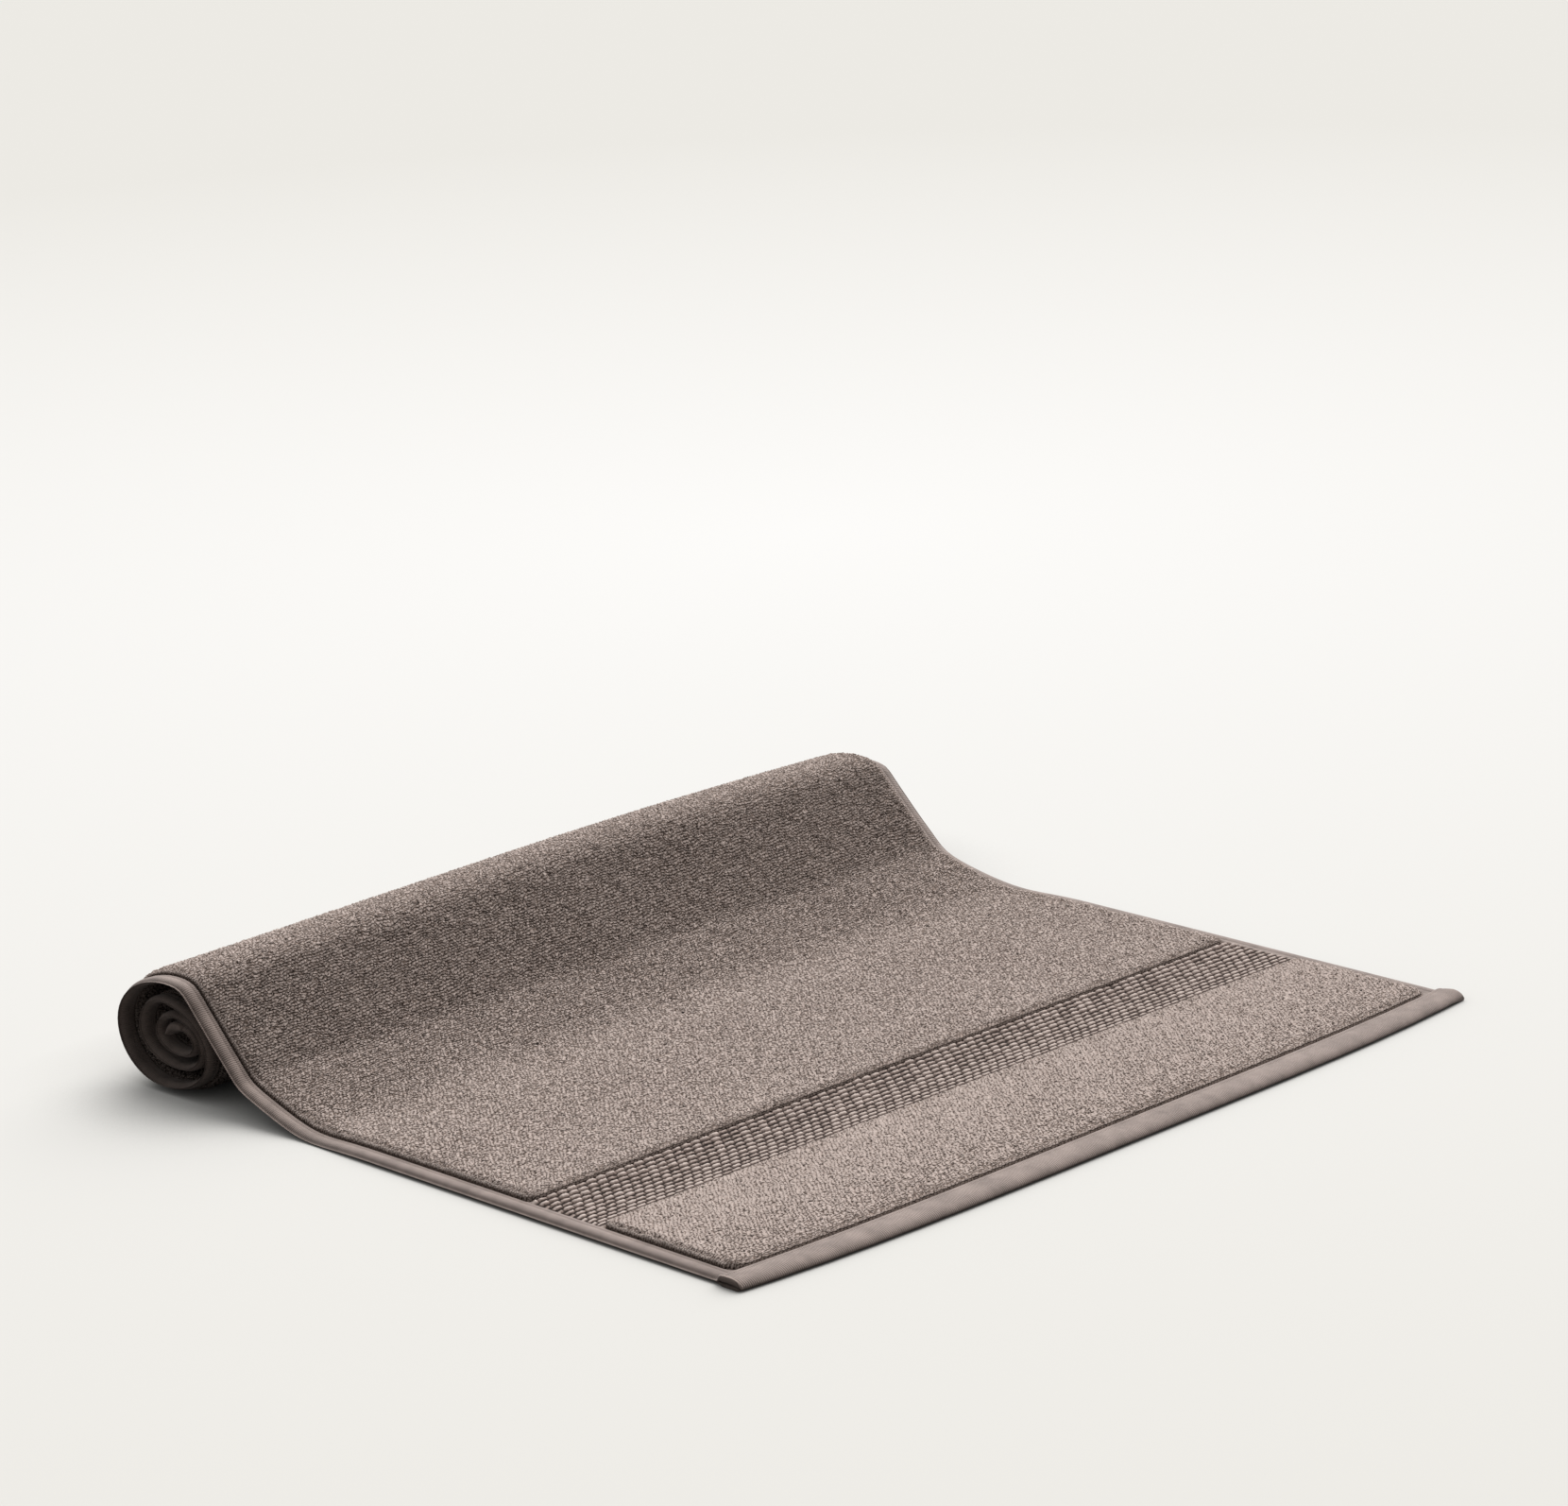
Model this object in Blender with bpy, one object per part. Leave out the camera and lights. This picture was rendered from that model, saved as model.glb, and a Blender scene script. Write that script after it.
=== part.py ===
"""Rolled terry bath mat: one woven cloth with its hems and its two sunk bands, half rolled up, half lying flat.

The tables are in millimetres and the mesh is in metres. +X runs out of the roll along the flat part, +Y across
the mat and +Z up. The origin is on the floor, under the middle of the bounding box.
"""

import math
from collections import namedtuple

import bmesh
import bpy
from mathutils import Vector

MM = 0.001

# The cloth: its width, and the thickness of its hems and bands. Elsewhere its pile stands at its own height.
WIDTH = 512.0
HEM_THICKNESS = 3.8
END_HEM_THICKNESS = 5.0
BAND_THICKNESS = 4.6
FULL_PILE = 99.0

# The roll isn't square to the mat: its far end lies further back and is drawn in a little, and its inner turns
# have slid sideways. Its crest is highest past the middle, by CREST_RISE at the share CREST_PEAK of the width.
SQUARE_UNTIL = 255.0
SKEWED_FROM = 400.0
ROLL_SKEW = 9.0
FAR_PULL_IN = 5.5
INNER_TURN_DRIFT = 2.5
CREST_HEIGHT = 60.8
CREST_RISE = 3.2
CREST_PEAK = 0.62

# The far side's hem hangs down a little where the ramp holds it off the floor, over these places along the mat.
FAR_HEM_DROOP = 3.0
DROOP_WIDTH = 14.0
DROOP_BUILDS_OVER = (300.0, 350.0)
DROOP_FADES_OVER = (440.0, 500.0)

# The flat end's hem bows out in its middle, and the bow fades just past the hem. The sides bow out much less.
END_BOW = 8.5
END_BOW_POWER = 4
END_BOW_FADE = 40.0
SIDE_BOW = 1.2

# Off the floor the back's pile stands proud of the hems and bands too, by this share of the drop on the face.
BACK_SINK_SHARE = 0.2

# On the floor the pile's top is a little uneven, in soft waves of these lengths over two pi.
PILE_WAVE = 0.25
WAVE_ALONG = 37.0
WAVE_SLANT = 61.0
WAVE_ACROSS = 43.0

# The mesh has a row of points at each line of the relief, and between them where these steps are reached.
COLUMN_SPACING = 62.0
FLAT_SPACING = 30.0
CLEAR_OF_RELIEF = 2.5
TURN_STEP = math.radians(14)
PATH_SAMPLES = 60
QUARTER_ARC_HANDLE = 0.5523
SHARP_ANGLE = math.radians(35)

# The middle line of the cloth, from the flat end into the roll: how far back from the flat end's edge it is, how
# high, which way it runs (0 back, 90 up, 180 forward, 270 down), and the pile's thickness as squeezed there.
Row = namedtuple("Row", "place back height heading pile")
PATH = [
    Row("flat end's edge", 0.0, 3.5, 0, 7.0),
    Row("lift off", 258.0, 3.5, 0, 7.0),
    Row("foot of ramp", 343.3, 13.3, 19, 6.8),
    Row("lower ramp", 364.8, 28.0, 45, 6.6),
    Row("upper ramp", 383.6, 47.4, 46, 6.4),
    Row("crest", 407.0, CREST_HEIGHT, 0, 6.5),
    Row("first turn, back", 451.3, 30.5, 270, 6.5),
    Row("first turn, floor", 418.0, 3.0, 180, 6.5),
    Row("first turn, front", 380.3, 26.0, 90, 4.8),
    Row("second turn, top", 416.0, 49.2, 0, 5.0),
    Row("second turn, back", 435.6, 31.0, 270, 6.0),
    Row("second turn, foot", 407.5, 14.2, 180, 6.0),
    Row("second turn, front", 387.1, 28.0, 90, 4.6),
    Row("third turn, top", 409.0, 41.7, 0, 4.5),
    Row("third turn, back", 423.4, 31.5, 270, 5.2),
    Row("third turn, foot", 406.5, 21.6, 180, 5.2),
    Row("third turn, front", 393.6, 29.2, 90, 4.4),
    Row("core, top", 403.4, 35.7, 0, 4.2),
    Row("rolled end's edge", 416.5, 30.6, 318, 5.0),
]

# The cloth's relief by its distance from an edge: top and bottom are heights above its back, FULL_PILE where the
# pile stands at its own height.
Relief = namedtuple("Relief", "inset top bottom")
SIDE_RELIEF = [
    Relief(0.0, 2.7, 1.1),
    Relief(1.3, HEM_THICKNESS, 0.0),
    Relief(7.6, HEM_THICKNESS, 0.0),
    Relief(8.7, 2.6, 0.0),
    Relief(10.0, 5.4, 0.0),
    Relief(13.0, FULL_PILE, 0.0),
]
END_RELIEF = [
    Relief(0.0, 3.6, 1.4),
    Relief(1.8, END_HEM_THICKNESS, 0.0),
    Relief(13.2, END_HEM_THICKNESS, 0.0),
    Relief(14.5, 3.4, 0.0),
    Relief(16.0, 5.6, 0.0),
    Relief(19.5, FULL_PILE, 0.0),
    Relief(100.0, FULL_PILE, 0.0),
    Relief(103.0, BAND_THICKNESS, 0.0),
    Relief(148.4, BAND_THICKNESS, 0.0),
    Relief(149.8, 3.6, 0.0),
    Relief(151.4, 5.8, 0.0),
    Relief(155.0, FULL_PILE, 0.0),
]

TERRY_COLOUR = (0.300, 0.245, 0.215, 1.0)
TERRY_ROUGHNESS = 0.95

PathPoint = namedtuple("PathPoint", "length back height heading pile")


def heading_vector(degrees):
    return Vector((math.cos(math.radians(degrees)), math.sin(math.radians(degrees))))


def smooth_step(value, low, high):
    t = min(max((value - low) / (high - low), 0.0), 1.0)
    return t * t * (3.0 - 2.0 * t)


def arc_between(start, end):
    """Points of the cubic curve that leaves one row and reaches the next along their headings."""
    first = Vector((start.back, start.height))
    last = Vector((end.back, end.height))
    leave = heading_vector(start.heading)
    arrive = heading_vector(end.heading)
    chord = last - first
    first_handle = first + leave * abs(chord.dot(leave)) * QUARTER_ARC_HANDLE
    last_handle = last - arrive * abs(chord.dot(arrive)) * QUARTER_ARC_HANDLE
    for step in range(PATH_SAMPLES):
        t = step / PATH_SAMPLES
        rest = 1.0 - t
        point = (
            first * rest ** 3
            + first_handle * 3 * rest ** 2 * t
            + last_handle * 3 * rest * t ** 2
            + last * t ** 3
        )
        yield point, start.pile + (end.pile - start.pile) * smooth_step(t, 0.0, 1.0)


def trace_path():
    """The cloth's middle line as close points, each with its length from the flat end, heading and pile."""
    points = []
    for start, end in zip(PATH, PATH[1:]):
        points.extend(arc_between(start, end))
    points.append((Vector((PATH[-1].back, PATH[-1].height)), PATH[-1].pile))
    traced = []
    length = 0.0
    heading = 0.0
    for index, (point, pile) in enumerate(points):
        ahead = points[min(index + 1, len(points) - 1)][0]
        behind = points[max(index - 1, 0)][0]
        run = ahead - behind
        turn = math.atan2(run.y, run.x) - heading
        heading += math.remainder(turn, math.tau)
        if index:
            length += (point - points[index - 1][0]).length
        traced.append(PathPoint(length, point.x, point.y, heading, pile))
    return traced


def at_length(traced, length):
    """The path's point at a length along the cloth."""
    low, high = 0, len(traced) - 1
    while high - low > 1:
        middle = (low + high) // 2
        if traced[middle].length <= length:
            low = middle
        else:
            high = middle
    a, b = traced[low], traced[high]
    t = (length - a.length) / (b.length - a.length)
    return PathPoint(*(one + (other - one) * t for one, other in zip(a, b)))


def relief_at(table, inset):
    """Top and bottom of a relief table at a distance from the edge."""
    for a, b in zip(table, table[1:]):
        if inset <= b.inset:
            t = (inset - a.inset) / (b.inset - a.inset)
            return a.top + (b.top - a.top) * t, a.bottom + (b.bottom - a.bottom) * t
    return table[-1].top, table[-1].bottom


def station_lengths(traced):
    """Lengths along the cloth where it has a row of points: at each relief line, and closer where it turns."""
    total = traced[-1].length
    relief = [row.inset for row in END_RELIEF]
    fixed = relief + [total - inset for inset in relief]
    lengths = list(fixed)
    last_length, last_heading = 0.0, traced[0].heading
    for point in traced:
        turned = abs(point.heading - last_heading) >= TURN_STEP
        if turned or point.length - last_length >= FLAT_SPACING:
            last_length, last_heading = point.length, point.heading
            if min(abs(point.length - known) for known in fixed) > CLEAR_OF_RELIEF:
                lengths.append(point.length)
    return sorted(lengths)


def side_insets():
    """Distances from the near side where the cloth has a column of points."""
    relief = [row.inset for row in SIDE_RELIEF]
    first = relief[-1]
    spaces = round((WIDTH - 2 * first) / COLUMN_SPACING)
    field = [first + (WIDTH - 2 * first) * step / spaces for step in range(1, spaces)]
    return relief + field + [WIDTH - inset for inset in reversed(relief)]


def place(point, inset, height, total):
    """World place of a point at a height over the cloth's back, with the mat's skew, bow, droop and crest."""
    across = inset / WIDTH
    off_middle = 2.0 * across - 1.0
    droop = smooth_step(inset, WIDTH - DROOP_WIDTH, WIDTH) * smooth_step(point.back, *DROOP_BUILDS_OVER)
    droop *= 1.0 - smooth_step(point.length, *DROOP_FADES_OVER)
    off_floor = height - point.pile / 2 - FAR_HEM_DROOP * droop
    back = point.back - math.sin(point.heading) * off_floor
    up = point.height + math.cos(point.heading) * off_floor
    rolled = smooth_step(point.back, SQUARE_UNTIL, SKEWED_FROM)
    back += ROLL_SKEW * across * rolled
    hump = math.sin(math.pi * across ** (math.log(0.5) / math.log(CREST_PEAK)))
    up += CREST_RISE * hump * smooth_step(up, 0.0, CREST_HEIGHT)
    end_fade = 1.0 - smooth_step(point.length, 0.0, END_BOW_FADE)
    back -= END_BOW * (1.0 - off_middle ** END_BOW_POWER) * end_fade
    bow = SIDE_BOW * math.sin(math.pi * point.length / total)
    side = (across - 0.5) * (WIDTH + 2.0 * bow) - FAR_PULL_IN * across * rolled
    side += INNER_TURN_DRIFT * smooth_step(point.length, total / 2, total)
    return Vector((-back, side, max(up, 0.0))) * MM


def make_mat():
    traced = trace_path()
    total = traced[-1].length
    lengths = station_lengths(traced)
    insets = side_insets()
    mesh = bmesh.new()
    tops, bottoms = [], []
    for length in lengths:
        point = at_length(traced, length)
        end_top, end_bottom = relief_at(END_RELIEF, min(length, total - length))
        lifted = smooth_step(point.back, SQUARE_UNTIL, SKEWED_FROM)
        top_row, bottom_row = [], []
        for inset in insets:
            side_top, side_bottom = relief_at(SIDE_RELIEF, min(inset, WIDTH - inset))
            wave = PILE_WAVE * math.sin(length / WAVE_ALONG + inset / WAVE_SLANT) * math.sin(inset / WAVE_ACROSS)
            pile = point.pile - PILE_WAVE + wave * (1.0 - lifted)
            top = min(side_top, end_top, pile)
            bottom = max(side_bottom, end_bottom, BACK_SINK_SHARE * lifted * (pile - top))
            top_row.append(mesh.verts.new(place(point, inset, top, total)))
            bottom_row.append(mesh.verts.new(place(point, inset, bottom, total)))
        tops.append(top_row)
        bottoms.append(bottom_row)
    for row in range(len(lengths) - 1):
        for column in range(len(insets) - 1):
            for sheet, flip in ((tops, False), (bottoms, True)):
                corners = [
                    sheet[row][column],
                    sheet[row][column + 1],
                    sheet[row + 1][column + 1],
                    sheet[row + 1][column],
                ]
                mesh.faces.new(reversed(corners) if flip else corners)
        for column in (0, -1):
            corners = [
                tops[row][column],
                tops[row + 1][column],
                bottoms[row + 1][column],
                bottoms[row][column],
            ]
            mesh.faces.new(corners if column == 0 else reversed(corners))
    for row in (0, -1):
        for column in range(len(insets) - 1):
            corners = [
                tops[row][column],
                tops[row][column + 1],
                bottoms[row][column + 1],
                bottoms[row][column],
            ]
            mesh.faces.new(reversed(corners) if row == 0 else corners)
    centre_on_floor(mesh)
    bmesh.ops.recalc_face_normals(mesh, faces=mesh.faces)
    data = bpy.data.meshes.new("bath_mat")
    mesh.to_mesh(data)
    mesh.free()
    data.shade_smooth()
    data.set_sharp_from_angle(angle=SHARP_ANGLE)
    data.materials.append(terry_material())
    mat = bpy.data.objects.new("bath_mat", data)
    bpy.context.scene.collection.objects.link(mat)
    return mat


def centre_on_floor(mesh):
    """Moves the mesh so that its bounding box's middle is over the origin. It already stands on the floor."""
    xs = [vertex.co.x for vertex in mesh.verts]
    ys = [vertex.co.y for vertex in mesh.verts]
    middle = Vector(((min(xs) + max(xs)) / 2, (min(ys) + max(ys)) / 2, 0.0))
    bmesh.ops.translate(mesh, vec=-middle, verts=mesh.verts)


def terry_material():
    material = bpy.data.materials.new("cotton terry")
    material.use_nodes = True
    surface = material.node_tree.nodes["Principled BSDF"]
    surface.inputs["Base Color"].default_value = TERRY_COLOUR
    surface.inputs["Roughness"].default_value = TERRY_ROUGHNESS
    surface.inputs["Metallic"].default_value = 0.0
    material.diffuse_color = TERRY_COLOUR
    return material


for old in list(bpy.data.objects):
    bpy.data.objects.remove(old, do_unlink=True)
make_mat()
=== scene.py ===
"""Rolled terry bath mat: its woven cloth, hems, sunk bands and looped pile, on a pale studio floor.

Sizes along and across the cloth are in millimetres, and every mesh is in metres.
"""

import math
from collections import namedtuple

import bpy
import numpy as np
from mathutils import Matrix, Vector


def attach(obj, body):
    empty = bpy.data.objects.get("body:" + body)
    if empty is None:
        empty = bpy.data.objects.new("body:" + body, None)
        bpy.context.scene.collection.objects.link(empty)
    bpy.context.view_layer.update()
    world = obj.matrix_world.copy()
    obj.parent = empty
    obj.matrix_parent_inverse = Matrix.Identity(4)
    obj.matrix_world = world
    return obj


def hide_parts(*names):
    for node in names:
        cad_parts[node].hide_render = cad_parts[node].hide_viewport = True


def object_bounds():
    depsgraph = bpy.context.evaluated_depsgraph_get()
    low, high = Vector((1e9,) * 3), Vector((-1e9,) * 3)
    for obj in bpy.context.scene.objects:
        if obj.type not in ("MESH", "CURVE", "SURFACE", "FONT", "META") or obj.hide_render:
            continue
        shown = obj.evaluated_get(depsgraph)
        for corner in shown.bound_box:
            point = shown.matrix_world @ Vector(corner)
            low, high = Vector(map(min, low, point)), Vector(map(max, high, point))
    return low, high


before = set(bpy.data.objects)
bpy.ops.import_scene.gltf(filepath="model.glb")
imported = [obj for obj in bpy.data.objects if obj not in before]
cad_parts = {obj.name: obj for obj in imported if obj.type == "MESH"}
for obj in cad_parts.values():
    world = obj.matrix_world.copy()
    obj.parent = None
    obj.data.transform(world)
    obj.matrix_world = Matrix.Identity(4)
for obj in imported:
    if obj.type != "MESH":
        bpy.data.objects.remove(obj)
cad_low, cad_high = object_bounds()

# Camera: a long lens, low over the front corner, where the flat end's hem and the near side meet. It looks
# along the diagonal of the mat, and it is held a little out of level.
CAMERA_PLACE = (1.7380, -1.6644, 0.8285)
CAMERA_YAW = math.radians(46.211)
CAMERA_PITCH = math.radians(15.713)
CAMERA_TILT = math.radians(-2.5)
CAMERA_LENS_MM = 114.57

bpy.ops.object.select_all(action="DESELECT")
bpy.ops.object.camera_add(location=CAMERA_PLACE)
camera = bpy.context.active_object
camera.name = "camera"
camera.rotation_euler = (
    Matrix.Rotation(CAMERA_YAW, 4, "Z")
    @ Matrix.Rotation(math.pi / 2 - CAMERA_PITCH, 4, "X")
    @ Matrix.Rotation(CAMERA_TILT, 4, "Z")
).to_euler()
camera.data.lens = CAMERA_LENS_MM
camera.data.clip_start = 0.05
bpy.context.scene.camera = camera

# Ground cloth: the mat's cotton base, woven in one piece, with its edges turned over and sewn down as hems.
# It lies flat for a third of its length, climbs over the roll and winds on inside it in three turns.
MM = 0.001
WIDTH = 512.0
SQUARE_UNTIL = 255.0
SKEWED_FROM = 400.0
ROLL_SKEW = 9.0
FAR_PULL_IN = 5.5
INNER_TURN_DRIFT = 2.5
CREST_HEIGHT = 60.8
CREST_RISE = 3.2
CREST_PEAK = 0.62
FAR_HEM_DROOP = 3.0
DROOP_WIDTH = 14.0
DROOP_BUILDS_OVER = (300.0, 350.0)
DROOP_FADES_OVER = (440.0, 500.0)
END_BOW = 8.5
END_BOW_POWER = 4
END_BOW_FADE = 40.0
SIDE_BOW = 1.2
BACK_SINK_SHARE = 0.2
PATH_SAMPLES = 60
QUARTER_ARC_HANDLE = 0.5523

# The cloth's middle line, from the flat end into the roll: how far back it is, how high, its heading (0 back,
# 90 up, 180 forward, 270 down), and the pile's thickness as squeezed there.
Row = namedtuple("Row", "place back height heading pile")
PATH = [
    Row("flat end's edge", 0.0, 3.5, 0, 7.0),
    Row("lift off", 258.0, 3.5, 0, 7.0),
    Row("foot of ramp", 343.3, 13.3, 19, 6.8),
    Row("lower ramp", 364.8, 28.0, 45, 6.6),
    Row("upper ramp", 383.6, 47.4, 46, 6.4),
    Row("crest", 407.0, CREST_HEIGHT, 0, 6.5),
    Row("first turn, back", 451.3, 30.5, 270, 6.5),
    Row("first turn, floor", 418.0, 3.0, 180, 6.5),
    Row("first turn, front", 380.3, 26.0, 90, 4.8),
    Row("second turn, top", 416.0, 49.2, 0, 5.0),
    Row("second turn, back", 435.6, 31.0, 270, 6.0),
    Row("second turn, foot", 407.5, 14.2, 180, 6.0),
    Row("second turn, front", 387.1, 28.0, 90, 4.6),
    Row("third turn, top", 409.0, 41.7, 0, 4.5),
    Row("third turn, back", 423.4, 31.5, 270, 5.2),
    Row("third turn, foot", 406.5, 21.6, 180, 5.2),
    Row("third turn, front", 393.6, 29.2, 90, 4.4),
    Row("core, top", 403.4, 35.7, 0, 4.2),
    Row("rolled end's edge", 416.5, 30.6, 318, 5.0),
]


def heading_vector(degrees):
    return np.array([math.cos(math.radians(degrees)), math.sin(math.radians(degrees))])


def smooth_step(value, low, high):
    t = np.clip((value - low) / (high - low), 0.0, 1.0)
    return t * t * (3.0 - 2.0 * t)


def trace_path():
    """The cloth's middle line as close points: its length so far, place back, height, heading and pile."""
    share = np.arange(PATH_SAMPLES)[:, None] / PATH_SAMPLES
    rest = 1.0 - share
    points, piles = [], []
    for start, end in zip(PATH, PATH[1:]):
        first = np.array([start.back, start.height])
        last = np.array([end.back, end.height])
        leave, arrive = heading_vector(start.heading), heading_vector(end.heading)
        first_handle = first + leave * abs((last - first) @ leave) * QUARTER_ARC_HANDLE
        last_handle = last - arrive * abs((last - first) @ arrive) * QUARTER_ARC_HANDLE
        curve = first * rest ** 3 + first_handle * 3 * rest ** 2 * share
        points.append(curve + last_handle * 3 * rest * share ** 2 + last * share ** 3)
        piles.append(start.pile + (end.pile - start.pile) * smooth_step(share[:, 0], 0.0, 1.0))
    points = np.vstack([*points, [PATH[-1].back, PATH[-1].height]])
    piles = np.append(np.concatenate(piles), PATH[-1].pile)
    steps = np.diff(points, axis=0)
    length = np.concatenate([[0.0], np.cumsum(np.hypot(steps[:, 0], steps[:, 1]))])
    runs = np.gradient(points, axis=0)
    heading = np.unwrap(np.arctan2(runs[:, 1], runs[:, 0]))
    return length, points[:, 0], points[:, 1], heading, piles


path_length, path_back, path_height, path_heading, path_pile = trace_path()
TOTAL = float(path_length[-1])
CLOTH_SHIFT = (cad_high.x / MM - END_BOW, cad_low.y / MM + WIDTH / 2 + SIDE_BOW)


def pile_at(length):
    return np.interp(length, path_length, path_pile)


def lifted_at(length):
    """How far the cloth is off the floor, from 0 on the flat part to 1 in the roll."""
    return smooth_step(np.interp(length, path_length, path_back), SQUARE_UNTIL, SKEWED_FROM)


def on_cloth(length, inset, height):
    """Places in metres, by length along the cloth, inset from its near side and height over its back."""
    back = np.interp(length, path_length, path_back)
    heading = np.interp(length, path_length, path_heading)
    across = inset / WIDTH
    droop = smooth_step(inset, WIDTH - DROOP_WIDTH, WIDTH) * smooth_step(back, *DROOP_BUILDS_OVER)
    droop = droop * (1.0 - smooth_step(length, *DROOP_FADES_OVER))
    off_middle_line = height - pile_at(length) / 2 - FAR_HEM_DROOP * droop
    rolled = lifted_at(length)
    up = np.interp(length, path_length, path_height) + np.cos(heading) * off_middle_line
    hump = np.sin(math.pi * np.clip(across, 0.0, 1.0) ** (math.log(0.5) / math.log(CREST_PEAK)))
    up = up + CREST_RISE * hump * smooth_step(up, 0.0, CREST_HEIGHT)
    back = back - np.sin(heading) * off_middle_line + ROLL_SKEW * across * rolled
    end_fade = 1.0 - smooth_step(length, 0.0, END_BOW_FADE)
    back = back - END_BOW * (1.0 - (2.0 * across - 1.0) ** END_BOW_POWER) * end_fade
    bow = SIDE_BOW * np.sin(math.pi * length / TOTAL)
    side = (across - 0.5) * (WIDTH + 2.0 * bow) - FAR_PULL_IN * across * rolled
    side = side + INNER_TURN_DRIFT * smooth_step(length, TOTAL / 2, TOTAL)
    place = np.stack([CLOTH_SHIFT[0] - back, CLOTH_SHIFT[1] + side, np.maximum(up, 0.0)], axis=-1)
    return place * MM


# The fields of pile: where each starts and ends along the cloth, and the radius of its corners at either end.
Field = namedtuple("Field", "start end start_corner end_corner")
BORDER = Field(15.2, 102.4, 9.0, 5.0)
MIDDLE = Field(150.9, TOTAL - 150.9, 5.0, 5.0)
CORE_BORDER = Field(TOTAL - BORDER.end, TOTAL - BORDER.start, 5.0, 9.0)
PILE_FROM_SIDE = 9.0


def inside_field(field, length, inset):
    """How far a point is inside a round-cornered field, up to a few millimetres. Negative outside."""
    side = np.minimum(inset, WIDTH - inset) - PILE_FROM_SIDE
    from_start = np.hypot(
        np.maximum(field.start_corner - (length - field.start), 0.0),
        np.maximum(field.start_corner - side, 0.0),
    )
    from_end = np.hypot(
        np.maximum(field.end_corner - (field.end - length), 0.0),
        np.maximum(field.end_corner - side, 0.0),
    )
    return np.minimum(field.start_corner - from_start, field.end_corner - from_end)


# The hems by distance from their outer edge: height over the cloth's back. The dip is the row of stitches.
Relief = namedtuple("Relief", "inset height")
SIDE_HEM = [
    Relief(0.0, 1.9),
    Relief(0.4, 2.6),
    Relief(1.0, 3.2),
    Relief(2.0, 3.7),
    Relief(3.4, 3.95),
    Relief(4.8, 3.85),
    Relief(5.6, 3.65),
    Relief(6.0, 3.4),
    Relief(6.4, 3.6),
    Relief(7.2, 3.75),
    Relief(8.3, 3.6),
]
END_HEM = [
    Relief(0.0, 2.0),
    Relief(0.5, 2.8),
    Relief(1.2, 3.5),
    Relief(2.4, 4.2),
    Relief(4.2, 4.8),
    Relief(6.5, 5.1),
    Relief(10.8, 5.0),
    Relief(11.5, 4.85),
    Relief(11.9, 4.6),
    Relief(12.3, 4.8),
    Relief(13.2, 4.9),
    Relief(14.4, 4.7),
]

# How far the hems' underside is over the plane of the cloth's back, because their turned edges are round.
HEM_UNDERSIDE = [
    Relief(0.0, 1.5),
    Relief(0.4, 1.15),
    Relief(1.0, 0.75),
    Relief(2.0, 0.3),
    Relief(3.4, 0.0),
]
END_HEM_ROUNDED_OVER = (-0.5, 1.4)
END_HEM_EDGE_SHARE = 0.9
END_HEM_LAPS_OVER = (14.2, 15.4)
BAND_BASE = 3.4
BAND_FROM_SIDE = (8.0, 8.8)
GROOVE = 2.3
GROOVE_LIP_OVER = (0.1, 0.7)
PILE_RISES_OVER = (2.0, 4.5)
PILE_STANDS = 2.6
BACK_PILE_STANDS = 2.3
EDGE_LINES = [9.0, 9.6, 10.3, 11.0, 11.8, 12.8, 14.0, 15.4, 17.0, 19.0]
END_EDGE_LINES = [15.0, 15.6, 16.3, 17.0, 18.0, 19.2, 20.6, 22.2, 24.2, 26.5]
BAND_LINES = [99.0, 101.0, 102.4, 103.2, 104.2, 149.4, 150.2, 150.8, 151.5, 153.0, 155.5]
FLAT_STEP = 4.0
ROLLED_STEP = 2.0
FIELD_COLUMN = 31.0
ROUNDING = 1e-6


def table(rows):
    """The columns of a table of rows."""
    return np.array(rows).T


def hem_top(length, inset):
    """Height of the hems, and of the band's ground between them, over the cloth's back."""
    side = np.minimum(inset, WIDTH - inset)
    end = np.minimum(length, TOTAL - length)
    side_hem = np.interp(side, *table(SIDE_HEM))
    side_hem = side_hem + (BAND_BASE - side_hem) * smooth_step(side, *BAND_FROM_SIDE)
    rounded = END_HEM_EDGE_SHARE + (1.0 - END_HEM_EDGE_SHARE) * smooth_step(side, *END_HEM_ROUNDED_OVER)
    end_hem = np.interp(end, *table(END_HEM)) * rounded
    return end_hem + (side_hem - end_hem) * smooth_step(end, *END_HEM_LAPS_OVER)


def inside_pile(length, inset):
    """How far a point is inside the field of pile that it is in or nearest to. Negative outside."""
    insides = [inside_field(field, length, inset) for field in (BORDER, MIDDLE, CORE_BORDER)]
    return np.max(insides, axis=0)


def ground_top(length, inset):
    """Height of the ground cloth over its back: hems, grooves round the fields, and the pile's base."""
    inside = inside_pile(length, inset)
    base = GROOVE + (hem_top(length, inset) - GROOVE) * smooth_step(-inside, *GROOVE_LIP_OVER)
    return base + (pile_at(length) - PILE_STANDS - base) * smooth_step(inside, *PILE_RISES_OVER)


def spread_between(fixed, step_at):
    """The fixed places in order, with even ones added wherever two lie further than a step apart."""
    places = [fixed[0]]
    for low, high in zip(fixed, fixed[1:]):
        spaces = max(1, math.ceil((high - low) / step_at(low) - ROUNDING))
        places.extend(low + (high - low) * part / spaces for part in range(1, spaces + 1))
    return np.array(places)


def both_ways(lines, whole):
    """The same lines from both ends of a whole."""
    return lines + [whole - line for line in reversed(lines)]


side_lines = [row.inset for row in SIDE_HEM] + EDGE_LINES
end_lines = [row.inset for row in END_HEM] + END_EDGE_LINES + BAND_LINES
cloth_columns = spread_between(both_ways(side_lines, WIDTH), lambda inset: FIELD_COLUMN)
cloth_rows = spread_between(
    both_ways(end_lines, TOTAL),
    lambda length: FLAT_STEP if length < SQUARE_UNTIL else ROLLED_STEP,
)


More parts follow.
